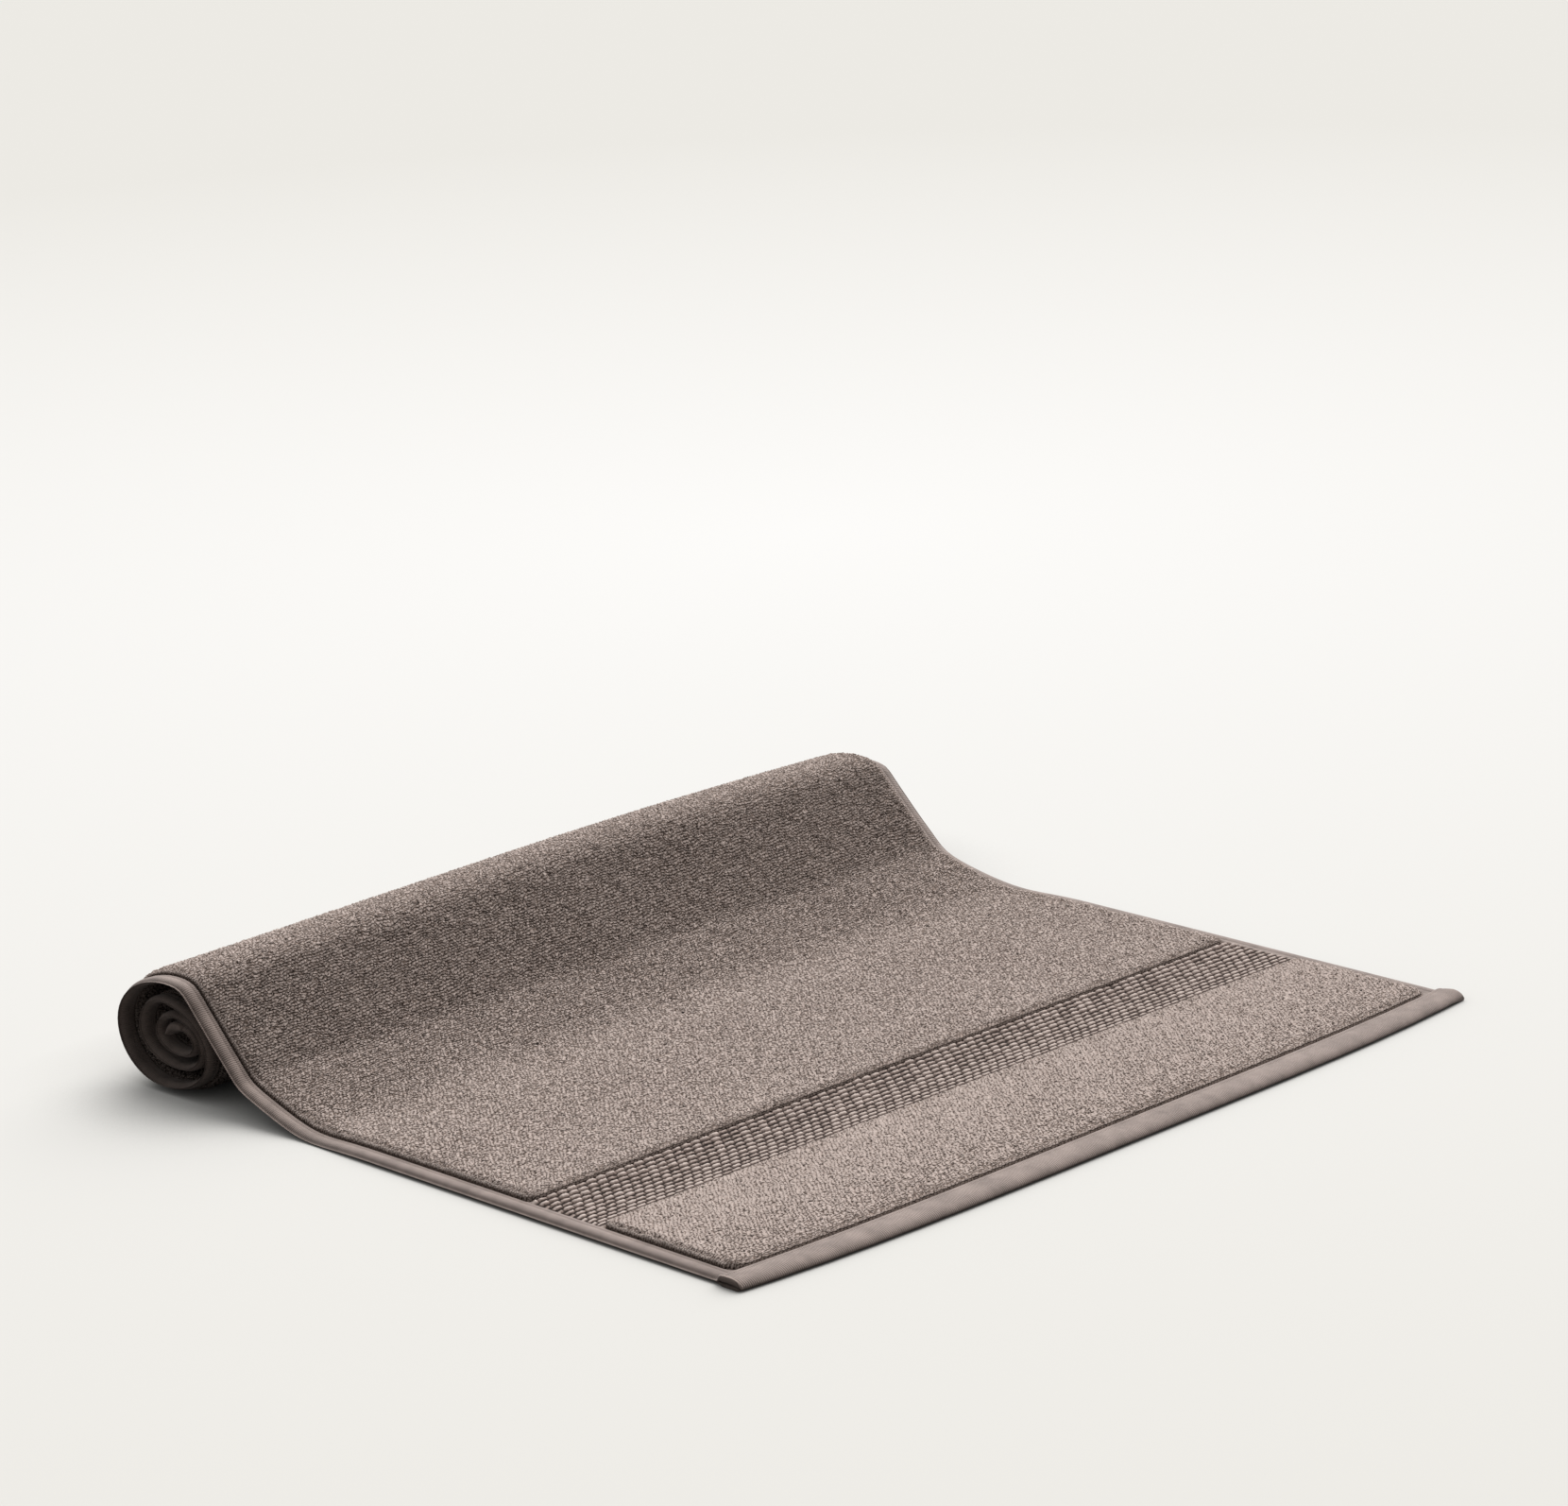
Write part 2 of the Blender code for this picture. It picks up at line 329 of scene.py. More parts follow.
def lay_flat_grid(name, columns, rows):
    """Adds a flat grid with a point for each column and row, and gives the piece."""
    bpy.ops.object.select_all(action="DESELECT")
    bpy.ops.mesh.primitive_grid_add(x_subdivisions=columns - 1, y_subdivisions=rows - 1, size=2.0)
    piece = bpy.context.active_object
    piece.name = name
    piece.data.name = name
    return piece


def grid_places(piece, columns, rows):
    """For each point of a piece, its column and row in the flat grid, and its level below it."""
    flat = np.empty(len(piece.data.vertices) * 3)
    piece.data.vertices.foreach_get("co", flat)
    flat = flat.reshape(-1, 3)
    column = np.rint((flat[:, 0] + 1.0) / 2.0 * (columns - 1)).astype(int)
    row = np.rint((flat[:, 1] + 1.0) / 2.0 * (rows - 1)).astype(int)
    return column, row, np.rint(-flat[:, 2]).astype(int)


def shape_piece(piece, places, map_name, across, along):
    """Moves a piece's points to their places, and maps it by how far across and along each of them is."""
    mesh = piece.data
    mesh.vertices.foreach_set("co", places.astype(np.float32).ravel())
    corners = np.empty(len(mesh.loops), dtype=int)
    mesh.loops.foreach_get("vertex_index", corners)
    mapped = np.stack([across[corners], along[corners]], axis=-1)
    mesh.uv_layers[0].name = map_name
    mesh.uv_layers[0].data.foreach_set("uv", mapped.astype(np.float32).ravel())
    mesh.shade_smooth()
    mesh.update()


# The rim is nine rings of points round the cloth's edge, the first on its top and the last on its back: how
# far out each is, and how high as a share of the thickness. At the near corner the end hem's open end shows,
# with its layers apart.
Rim = namedtuple("Rim", "round_out round_up open_out open_up")
RIM = [
    Rim(0.0, 1.0, 0.5, 0.98),
    Rim(0.35, 0.85, 1.3, 0.90),
    Rim(0.6, 0.70, 1.7, 0.74),
    Rim(0.75, 0.55, 1.6, 0.54),
    Rim(0.8, 0.42, 0.8, 0.41),
    Rim(0.8, 0.30, -6.0, 0.39),
    Rim(0.7, 0.18, -6.0, 0.24),
    Rim(0.45, 0.06, 0.9, 0.22),
    Rim(0.0, 0.0, 1.0, 0.0),
]
OPENS_OVER = (0.4, 2.0)
CLOSES_OVER = (11.0, 19.0)
OPEN_THICKNESS = 1.3

# At the far corner the end hem's end stands out past the side, blunt and just off the floor.
KNUCKLE_ACROSS = (WIDTH - 9.0, WIDTH)
KNUCKLE_ALONG = (6.0, 14.0)
KNUCKLE_OUT = 1.8
KNUCKLE_LIFT = 0.3

cloth = lay_flat_grid("ground_cloth", len(cloth_columns), len(cloth_rows))
bpy.ops.object.mode_set(mode="EDIT")
bpy.ops.mesh.select_all(action="SELECT")
for _ in RIM[1:]:
    bpy.ops.mesh.extrude_region_move(TRANSFORM_OT_translate={"value": (0.0, 0.0, -1.0)})
bpy.ops.object.mode_set(mode="OBJECT")

column, row, level = grid_places(cloth, len(cloth_columns), len(cloth_rows))
inset, length = cloth_columns[column], cloth_rows[row]
near_edge, far_edge = column == 0, column == len(cloth_columns) - 1
flat_edge, rolled_edge = row == 0, row == len(cloth_rows) - 1
top = ground_top(length, inset)
sink = BACK_SINK_SHARE * (pile_at(length) - top)
back = lifted_at(length) * np.where(inside_pile(length, inset) > 0.0, BACK_PILE_STANDS, sink)
from_edge = np.minimum.reduce([inset, WIDTH - inset, length, TOTAL - length])
at_slot = smooth_step(length, *OPENS_OVER) * (1.0 - smooth_step(length, *CLOSES_OVER))
opened = at_slot * near_edge
knuckle = smooth_step(inset, *KNUCKLE_ACROSS) * (1.0 - smooth_step(length, *KNUCKLE_ALONG))
on_floor = np.maximum(at_slot * (inset < WIDTH / 2), knuckle)
back = back + np.interp(from_edge, *table(HEM_UNDERSIDE)) * (1.0 - on_floor)
round_out, round_up, open_out, open_up = table(RIM)[:, level]
out = round_out + (open_out - round_out) * opened
top = top + OPEN_THICKNESS * opened
height = back + (top - back) * (round_up + (open_up - round_up) * opened)
inset = inset + out * (far_edge.astype(float) - near_edge) + KNUCKLE_OUT * knuckle
length = length + out * (rolled_edge.astype(float) - flat_edge)
places = on_cloth(length, inset, height + KNUCKLE_LIFT * knuckle)
shape_piece(cloth, places, "weave", inset * MM, length * MM)


def linear_colour(code):
    """The linear colour of an sRGB hex value."""
    parts = [int(code[i:i + 2], 16) / 255 for i in (1, 3, 5)]
    return tuple(c / 12.92 if c <= 0.04045 else ((c + 0.055) / 1.055) ** 2.4 for c in parts) + (1.0,)


def new_material(name):
    """An empty material and its node tree."""
    material = bpy.data.materials.new(name)
    material.use_nodes = True
    material.node_tree.nodes.clear()
    return material, material.node_tree


def add_node(tree, kind, inputs, **settings):
    """Adds a node with its settings. Each input is a value, or the socket that is linked to it."""
    node = tree.nodes.new(kind)
    for name, value in settings.items():
        setattr(node, name, value)
    for name, value in inputs.items():
        if isinstance(value, bpy.types.NodeSocket):
            tree.links.new(value, node.inputs[name])
        else:
            node.inputs[name].default_value = value
    return node


def colour_ramp(tree, factor, stops):
    """The colour at a factor on a ramp through sRGB colours."""
    node = add_node(tree, "ShaderNodeValToRGB", {"Fac": factor})
    elements = node.color_ramp.elements
    while len(elements) < len(stops):
        elements.new(0.5)
    for element, (place, code) in zip(elements, stops):
        element.position = place
        element.color = linear_colour(code)
    return node.outputs["Color"]


HEM_RIB_MM = 1.1
HEM_THREAD_MM = 0.45
HEM_RELIEF_MM = 0.22
HEM_RELIEF_SHADE_IN_TONE = 0.22
WEAR_PATCH_MM = 14.0

# The length in metres at which a wave texture of scale 1 repeats.
WAVE_REPEAT = 0.3142


def hem_twill(name, ribs_along):
    """Tight cotton twill, pressed flat under the needle: fine ribs square to the edge, little fuzz."""
    material, tree = new_material(name)
    weave = add_node(tree, "ShaderNodeUVMap", {}, uv_map="weave").outputs["UV"]
    ribs = add_node(
        tree,
        "ShaderNodeTexWave",
        {
            "Vector": weave,
            "Scale": WAVE_REPEAT / (HEM_RIB_MM * MM),
            "Distortion": 1.5,
            "Detail": 2.0,
            "Detail Scale": 1.5,
        },
        bands_direction=ribs_along,
        wave_profile="SIN",
    ).outputs["Fac"]
    threads = add_node(
        tree,
        "ShaderNodeTexNoise",
        {"Vector": weave, "Scale": 1.0 / (HEM_THREAD_MM * MM), "Detail": 3.0},
        noise_dimensions="2D",
    ).outputs["Fac"]
    height = add_node(tree, "ShaderNodeMath", {0: ribs, 1: threads}, operation="ADD").outputs["Value"]
    bump = add_node(
        tree,
        "ShaderNodeBump",
        {"Height": height, "Distance": HEM_RELIEF_MM * MM, "Strength": 0.8},
    ).outputs["Normal"]
    wear = add_node(
        tree,
        "ShaderNodeTexNoise",
        {"Vector": weave, "Scale": 1.0 / (WEAR_PATCH_MM * MM), "Detail": 4.0, "Roughness": 0.65},
        noise_dimensions="2D",
    ).outputs["Fac"]
    # The ribs' and threads' relief also sets the tone, darker where it is low: painted shade in its grooves.
    # The wear patches are real.
    tone = add_node(
        tree,
        "ShaderNodeMath",
        {0: height, 1: HEM_RELIEF_SHADE_IN_TONE, 2: wear},
        operation="MULTIPLY_ADD",
    ).outputs["Value"]
    shader = add_node(
        tree,
        "ShaderNodeBsdfPrincipled",
        {
            "Base Color": colour_ramp(tree, tone, [(0.3, "#5c4f49"), (0.95, "#8b7c75")]),
            "Roughness": 0.85,
            "Normal": bump,
            "Sheen Weight": 0.2,
            "Sheen Roughness": 0.5,
        },
    )
    add_node(tree, "ShaderNodeOutputMaterial", {"Surface": shader.outputs["BSDF"]})
    return material


WOBBLE_PER_LOOP = 0.9
WOBBLE = 1.05
STAGGER = 0.5
NUB_REACH = (0.95, 1.1, 0.0)
NUB_OVER = (0.3, 0.62)
NUB_RELIEF_MM = 0.7
NUB_SHARE = 0.45
TIP_SHARE = 0.5
FUZZ_PER_LOOP = 6.0
FUZZ_SHARE = 0.3


def cotton_terry():
    """Cotton yarn standing in uncut loops: matt and fuzzy, painted shade between the loops, painted light at
    their tips.
    """
    material, tree = new_material("cotton_terry")
    loops = add_node(tree, "ShaderNodeUVMap", {}, uv_map="loops").outputs["UV"]
    noise = add_node(
        tree,
        "ShaderNodeTexNoise",
        {"Vector": loops, "Scale": WOBBLE_PER_LOOP, "Detail": 2.0},
        noise_dimensions="2D",
    ).outputs["Color"]
    wobble = add_node(
        tree,
        "ShaderNodeVectorMath",
        {0: noise, 1: (WOBBLE, WOBBLE, 0.0), 2: (-WOBBLE / 2, -WOBBLE / 2, 0.0)},
        operation="MULTIPLY_ADD",
    ).outputs["Vector"]
    place = add_node(tree, "ShaderNodeVectorMath", {0: loops, 1: wobble}, operation="ADD").outputs["Vector"]
    parts = add_node(tree, "ShaderNodeSeparateXYZ", {"Vector": place}).outputs
    row = add_node(tree, "ShaderNodeMath", {0: parts["Y"]}, operation="FLOOR").outputs["Value"]
    odd = add_node(tree, "ShaderNodeMath", {0: row, 1: 2.0}, operation="FLOORED_MODULO").outputs["Value"]
    shifted = add_node(
        tree,
        "ShaderNodeMath",
        {0: odd, 1: STAGGER, 2: parts["X"]},
        operation="MULTIPLY_ADD",
    ).outputs["Value"]
    staggered = add_node(tree, "ShaderNodeCombineXYZ", {"X": shifted, "Y": parts["Y"]})
    within = add_node(tree, "ShaderNodeVectorMath", {0: staggered.outputs["Vector"]}, operation="FRACTION")
    stretched = add_node(
        tree,
        "ShaderNodeVectorMath",
        {0: within.outputs["Vector"], 1: NUB_REACH},
        operation="MULTIPLY",
    )
    off_tip = add_node(
        tree,
        "ShaderNodeVectorMath",
        {0: stretched.outputs["Vector"], 1: (NUB_REACH[0] / 2, NUB_REACH[1] / 2, 0.0)},
        operation="DISTANCE",
    ).outputs["Value"]
    # The nubs' edges darken the colour as well as the bump: painted shade in the crevices between the loops.
    nubs = add_node(
        tree,
        "ShaderNodeMapRange",
        {"Value": off_tip, "From Min": NUB_OVER[1], "From Max": NUB_OVER[0]},
        interpolation_type="SMOOTHSTEP",
    ).outputs["Result"]
    fuzz = add_node(
        tree,
        "ShaderNodeTexNoise",
        {"Vector": loops, "Scale": FUZZ_PER_LOOP, "Detail": 2.0},
        noise_dimensions="2D",
    ).outputs["Fac"]
    fuzzy = add_node(tree, "ShaderNodeMath", {0: fuzz, 1: FUZZ_SHARE, 2: nubs}, operation="MULTIPLY_ADD")
    bump = add_node(
        tree,
        "ShaderNodeBump",
        {"Height": fuzzy.outputs["Value"], "Distance": NUB_RELIEF_MM * MM, "Strength": 0.9},
    ).outputs["Normal"]
    # The tip attribute also sets the colour, dark in the gaps and light at the tips: painted shade and
    # painted light.
    tip = add_node(tree, "ShaderNodeAttribute", {}, attribute_name="tip").outputs["Fac"]
    painted_tip_shading = add_node(tree, "ShaderNodeMath", {0: tip, 1: TIP_SHARE}, operation="MULTIPLY").outputs["Value"]
    shade = add_node(tree, "ShaderNodeMath", {0: nubs, 1: NUB_SHARE, 2: painted_tip_shading}, operation="MULTIPLY_ADD")
    stops = [(0.04, "#1c120f"), (0.32, "#6d5f57"), (0.6, "#9b8e88"), (0.95, "#aea29c")]
    shader = add_node(
        tree,
        "ShaderNodeBsdfPrincipled",
        {
            "Base Color": colour_ramp(tree, shade.outputs["Value"], stops),
            "Roughness": 0.95,
            "Specular IOR Level": 0.1,
            "Normal": bump,
            "Sheen Weight": 0.2,
            "Sheen Roughness": 0.6,
            "Sheen Tint": linear_colour("#d4c4ba"),
        },
    )
    add_node(tree, "ShaderNodeOutputMaterial", {"Surface": shader.outputs["BSDF"]})
    return material


def set_tip_shading(piece, shading):
    """Keeps how near each point is to the tip of a loop, from 0 in the gaps to 1: painted shade and light in
    the colour.
    """
    attribute = piece.data.attributes.new("tip", "FLOAT", "POINT")
    attribute.data.foreach_set("value", np.clip(shading, 0.0, 1.0).astype(np.float32))


def face_middles(piece, values):
    """The mean of the points' values over each four-sided face."""
    corners = np.empty(len(piece.data.loops), dtype=int)
    piece.data.loops.foreach_get("vertex_index", corners)
    return values[corners].reshape(-1, 4).mean(axis=1)


def settle(piece, *materials):
    """Gives a finished piece its materials, and ties it to the root body."""
    for material in materials:
        piece.data.materials.append(material)
    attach(piece, "root")


# A face has the terry finish if it is further inside a field of pile than this. The rest, the ground under
# the bands too, has that of the hems. Negative is outside the field.
TERRY_FROM = -0.5

terry = cotton_terry()
side_hem_twill = hem_twill("side_hem_twill", "Y")
end_hem_twill = hem_twill("end_hem_twill", "X")
face_length = face_middles(cloth, length)
face_inside = face_middles(cloth, inside_pile(length, inset))
from_end = np.minimum(face_length, TOTAL - face_length)
finish = np.where(face_inside > TERRY_FROM, 0, np.where(from_end < END_HEM_LAPS_OVER[0], 2, 1))
cloth.data.polygons.foreach_set("material_index", finish.astype(np.int32))
# The ground cloth's terry faces, under the loops and in the grooves round the fields, take the darkest terry
# colour: painted shade.
set_tip_shading(cloth, np.zeros(len(cloth.data.vertices)))
settle(cloth, terry, side_hem_twill, end_hem_twill)
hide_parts("bath_mat")

# Pile: cotton loops woven into both faces of the cloth, in rows across it about 1.5 mm apart. Each row's
# loops stand between those of the next. Each loop is a curled tip with gaps round it, and the pile's edges
# are rounded.
LOOP_ALONG = 1.55
LOOP_ACROSS = 2.3
LOOP_DEPTH = 1.15
TIP_OVER_PILE = 0.2
SHOULDER = 5.0
PILE_FOOT = 2.2
HIDDEN_FOOT = 1.2
SIDE_FOOT = 3.5
END_FOOT = 4.4
BAND_EDGE_FOOT = 3.9
FOOT_LINES = [0.0, 0.12, 0.5]
FOOT_STAND = 0.8
CLOSE_ENOUGH = 0.01
# At the pile's foot by the sides, hems and bands the colour is darkened: painted shade. On the rounded edges
# it is lightened: painted light.
PAINTED_SHADE_AT_FOOT_OVER = (0.1, 0.6)
FOOT_SHADE_REACH_BY_SIDE = 1.2
FOOT_SHADE_REACH_BY_END = 2.0
FOOT_SHADE_REACH_BY_BAND = 3.2
PAINTED_LIGHT_ON_EDGES = 0.4
EDGE_WANDER = 0.35
EDGE_WANDERS_FROM = 1.0
STRAIGHT_OVER = (1.5, 5.0)
# Over this stretch the loops stand lower, in shape and in colour: real relief and painted shade on the ramp.
RAMP_FROM = (270.0, 350.0)
RAMP_TO = (385.0, 430.0)
LOOP_SHIFT = 0.38
ROW_WANDER = 0.9
ROW_WANDER_MM = 15.0
ROW_WANDERS_OVER = (1.0, 7.0)
HOLES_SHARE = 0.12
HOLE_DEPTH = 0.5
CLUMP_MM = 5.0
CLUMP_RISE = 0.12
DRIFT_MM = 60.0
DRIFT_RISE = 0.05
WAVES = 7
WAVE_REACHES = (0.7, 1.5)
WAVES_PEAK = 3.0

# The map of loops starts at one, so that the rows it moves by half a loop are those that the mesh does.
MAP_STARTS_AT = 1.0

# How high the points of a loop stand, as shares of its depth: its tip, its sides along its row, and the gap
# to the next row. Then what is added on the ramp, where the bend opens the rows, which also darkens their
# colour there: painted shade. And what is added along the pile's sides, where the loops stand in lines.
Stand = namedtuple("Stand", "point low high on_ramp along_sides")
STANDS = [
    Stand("tip", 0.72, 1.15, 0.0, 0.0),
    Stand("side", 0.30, 0.85, -0.05, -0.35),
    Stand("gap behind a tip", -0.05, 0.50, -0.1, 0.45),
    Stand("gap behind a side", -0.05, 0.50, -0.1, -0.05),
]


def soft_waves(length, inset, wavelength, random):
    """A smooth uneven field over the cloth, from about -1 to 1."""
    total = np.zeros(np.broadcast(length, inset).shape)
    for _ in range(WAVES):
        angle = random.uniform(0.0, math.tau)
        reach = wavelength * random.uniform(*WAVE_REACHES) / math.tau
        slant = length * math.cos(angle) + inset * math.sin(angle)
        total += np.sin(slant / reach + random.uniform(0.0, math.tau))
    return total / WAVES_PEAK


def footed_lines(low, high, pitch):
    """Even lines two to a loop, with close lines at both ends where the edge of the pile has its foot."""
    loops = round((high - low) / pitch)
    half = (high - low) / (2 * loops)
    even = np.linspace(low + half, high - half, 2 * loops - 1)
    close = np.array(FOOT_LINES)
    return np.concatenate([low + close, even, high - close[::-1]])


def weave_pile(field, start, seed):
    """A field's points from a length on: length, inset, height over the back, tip, and place in loops."""
    random = np.random.default_rng(seed)
    length, inset = np.meshgrid(
        footed_lines(start, field.end, LOOP_ALONG),
        footed_lines(PILE_FROM_SIDE, WIDTH - PILE_FROM_SIDE, LOOP_ACROSS),
        indexing="ij",
    )
    side = np.minimum(inset, WIDTH - inset) - PILE_FROM_SIDE
    from_band = field.end - length if field is BORDER else length - field.start
    from_end = np.minimum(length - field.start, field.end - length)
    at_hem = (field is not MIDDLE) & (from_band > from_end)
    inside = inside_field(field, length, inset)
    lined_up = 1.0 - smooth_step(side, *STRAIGHT_OVER)
    row, column = np.indices(length.shape)
    stagger = np.where(lined_up > 0.5, 0, row // 2 % 2)
    at_tip_column = (column + stagger) % 2 == 1
    kind = np.where(row % 2 == 1, np.where(at_tip_column, 0, 1), np.where(at_tip_column, 2, 3))
    low, high, on_ramp, along_sides = table([stand[1:] for stand in STANDS])[:, kind]
    ramp = smooth_step(length, *RAMP_FROM) * (1.0 - smooth_step(length, *RAMP_TO))
    stand = low + (high - low) * random.random(length.shape)
    stand = stand + on_ramp * ramp + along_sides * lined_up
    stand = stand - HOLE_DEPTH * (random.random(length.shape) < HOLES_SHARE)
    stand = stand + CLUMP_RISE * soft_waves(length, inset, CLUMP_MM, random)
    stand = stand + DRIFT_RISE * soft_waves(length, inset, DRIFT_MM, random)
    on_foot = inside < FOOT_LINES[2] + CLOSE_ENOUGH
    stand = np.where(on_foot, FOOT_STAND, stand)
    wander = EDGE_WANDER * soft_waves(length, inset, 2 * CLUMP_MM, random) * (inside > EDGE_WANDERS_FROM)
    arch = np.clip((inside + wander) / SHOULDER, 0.0, 1.0)
    arch = np.sqrt(1.0 - (1.0 - arch) ** 2)
    crown = pile_at(length) + TIP_OVER_PILE - LOOP_DEPTH * (1.0 - stand)
    foot = np.where(side < from_end, SIDE_FOOT, np.where(at_hem, END_FOOT, BAND_EDGE_FOOT))
    foot = PILE_FOOT + (foot - PILE_FOOT) * (inside > CLOSE_ENOUGH)
    height = foot + (crown - foot) * arch + np.minimum(inside, 0.0)
    # Painted shade at the pile's foot and painted light on its sloping edges go into the tip.
    foot_shade_reach = np.where(at_hem, FOOT_SHADE_REACH_BY_END, FOOT_SHADE_REACH_BY_BAND)
    painted_foot_shade_reach = np.where(side > from_end, foot_shade_reach, FOOT_SHADE_REACH_BY_SIDE)
    tip = (stand + PAINTED_LIGHT_ON_EDGES * (1.0 - arch)) * smooth_step(inside / painted_foot_shade_reach, *PAINTED_SHADE_AT_FOOT_OVER)
    shift = LOOP_SHIFT * ~on_foot
    free = smooth_step(inside, *ROW_WANDERS_OVER)
    wave_along = ROW_WANDER * free * soft_waves(length, inset, ROW_WANDER_MM, random)
    wave_across = ROW_WANDER * free * soft_waves(length, inset, ROW_WANDER_MM, random)
    down = (crown - foot) * (1.0 - arch)
    down_side = np.where(side < from_end, down, 0.0) * np.sign(inset - WIDTH / 2)
    down_end = np.where(side < from_end, 0.0, down) * np.sign(length - (field.start + field.end) / 2)
    across = (inset + down_side - PILE_FROM_SIDE) / LOOP_ACROSS
    along = (length + down_end - start) / LOOP_ALONG + MAP_STARTS_AT
    length = length + wave_along + shift * random.uniform(-1.0, 1.0, length.shape)
    inset = inset + wave_across + shift * random.uniform(-1.0, 1.0, length.shape)
    return length, inset, np.maximum(height, HIDDEN_FOOT), tip, across, along


def pile_piece(name, woven, rows, columns, face=1):
    """A piece of the pile on one face. Where its columns stop inside the roll, the last of them sinks in."""
    length, inset, height, tip, across, along = (values[rows, columns] for values in woven)
    height = height.copy()
    if columns.start > 0:
        height[:, 0] = pile_at(length[:, 0]) - PILE_STANDS
    if columns.stop < woven[0].shape[1]:
        height[:, -1] = pile_at(length[:, -1]) - PILE_STANDS
    if face < 0:
        height = (pile_at(length) - height) * lifted_at(length)
    piece = lay_flat_grid(name, length.shape[1], length.shape[0])
    column, row = grid_places(piece, length.shape[1], length.shape[0])[:2]
    places = on_cloth(length, inset, height)[row, column]
    shape_piece(piece, places, "loops", across[row, column], along[row, column])
    if face < 0:
        piece.data.flip_normals()
    set_tip_shading(piece, tip[row, column])
    settle(piece, terry)
    return piece


def rows_between(woven, start, end):
    """The rows of a woven field from one length to another, each on a gap between loops."""
    lines = woven[0].mean(axis=1)
    first = 2 * round(float(np.interp(start, lines, np.arange(len(lines)))) / 2)
    last = 2 * round(float(np.interp(end, lines, np.arange(len(lines)))) / 2)
    return slice(first, last + 1)


BACK_PILE_FROM = 285.0
END_STRIP = 36.0
PIECES_ALONG = (322.0, 490.0, 545.0)

border = weave_pile(BORDER, BORDER.start, seed=11)
middle = weave_pile(MIDDLE, MIDDLE.start, seed=12)
core_border = weave_pile(CORE_BORDER, CORE_BORDER.start, seed=13)
back_middle = weave_pile(MIDDLE, BACK_PILE_FROM, seed=14)
back_core = weave_pile(CORE_BORDER, CORE_BORDER.start, seed=15)
columns_in_all = border[0].shape[1]
strip = 2 * round(END_STRIP / LOOP_ACROSS) + 1
all_columns = slice(0, columns_in_all)
first, second, third = PIECES_ALONG
pile_pieces = [
    pile_piece("pile_border", border, rows_between(border, 0.0, TOTAL), all_columns),
    pile_piece("pile_flat", middle, rows_between(middle, 0.0, first), all_columns),
    pile_piece("pile_ramp", middle, rows_between(middle, first, second), all_columns),
    pile_piece("pile_crest", middle, rows_between(middle, second, third), all_columns),
]
pile_strips = {
    "near": slice(0, strip),
    "far": slice(columns_in_all - strip, columns_in_all),
}
for side, columns in pile_strips.items():
    pile_pieces += [
        pile_piece("pile_wound_" + side, middle, rows_between(middle, third, TOTAL), columns),
        pile_piece("pile_core_" + side, core_border, rows_between(core_border, 0.0, TOTAL), columns),
        pile_piece("pile_back_" + side, back_middle, rows_between(back_middle, 0.0, TOTAL), columns, -1),
        pile_piece("pile_back_core_" + side, back_core, rows_between(back_core, 0.0, TOTAL), columns, -1),
    ]

# Bands: two strips woven without loops. Heavy wefts stand over the ground as short bars in rows, each row's
# bars set between those of the next, with gaps round them, dark from their depth and from painted shade. The
# second band is inside the roll.
BAR_ROWS = 12
BAR_ACROSS = 6.1
BAR_RISE = 1.6
BAR_RISE_AT_START = 0.4
BAND_FOOT = 3.5
BAND_STRETCH = 1.2
BAND_OVER = (103.0, 150.2)
BAND_NEAR = 8.3
BAND_EDGE = 2.0
BAR_SHIFT = 0.35
ROW_SHIFT = 0.22
BAR_ENDS = 0.15
BAR_SIZES = (0.7, 1.1)
BAR_UNEVEN = 0.18
# The bars' colour goes light on their tops, near black in their gaps and darker towards the main pile:
# painted light and painted shade.
BAR_LIGHT_OVER = (0.1, 1.0)
BAR_PAINTED_SHADE = 0.16
POINTS_IN_ROW = 6
POINTS_IN_BAR = 6
YARN_MM = 0.6
YARN_RELIEF_MM = 0.2
YARN_SHARE = 0.25

# A bar's height from one row to the next, as shares: a gap on the side of the flat end, then a steep front.
BAR_PROFILE = [(0.0, 0.0), (0.17, 0.05), (0.34, 0.6), (0.5, 1.0), (0.67, 1.0), (0.84, 0.8), (1.0, 0.0)]


def weave_band(seed):
    """A band's points: length from its own end's edge, inset, height over the back, and tip."""
    random = np.random.default_rng(seed)
    bars = round((WIDTH - 2 * BAND_NEAR) / BAR_ACROSS)
    row, column = np.indices((BAR_ROWS * POINTS_IN_ROW + 1, bars * POINTS_IN_BAR + 1))
    share = row / row.max()
    length = BAND_OVER[0] + (BAND_OVER[1] - BAND_OVER[0]) * share ** BAND_STRETCH
    inset = BAND_NEAR + (WIDTH - 2 * BAND_NEAR) * column / column.max()
    bar_row = np.minimum(row // POINTS_IN_ROW, BAR_ROWS - 1)
    in_row = (row - bar_row * POINTS_IN_ROW) / POINTS_IN_ROW
    bar = column / POINTS_IN_BAR + STAGGER * (bar_row % 2)
    in_bar = bar - np.floor(bar)
    size = random.uniform(*BAR_SIZES, (BAR_ROWS, bars + 2))[bar_row, np.floor(bar).astype(int)]
    size = size + random.uniform(-BAR_UNEVEN, BAR_UNEVEN, size.shape)
    stand = np.interp(in_row, *table(BAR_PROFILE)) * np.sin(math.pi * in_bar) ** BAR_ENDS * size
    edge = smooth_step(np.minimum(inset, WIDTH - inset) - BAND_NEAR, 0.0, BAND_EDGE)
    rise = BAR_RISE_AT_START + (1.0 - BAR_RISE_AT_START) * share
    height = BAND_FOOT + BAR_RISE * rise * stand * edge
    inset = inset + random.uniform(-BAR_SHIFT, BAR_SHIFT, inset.shape) * edge
    length = length + random.uniform(-ROW_SHIFT, ROW_SHIFT, length.shape) * np.sin(math.pi * share)
    # The tip is painted light on the bars' tops, and painted shade in their gaps and by the main pile.
    return length, inset, height, smooth_step(stand, *BAR_LIGHT_OVER) - BAR_PAINTED_SHADE * share


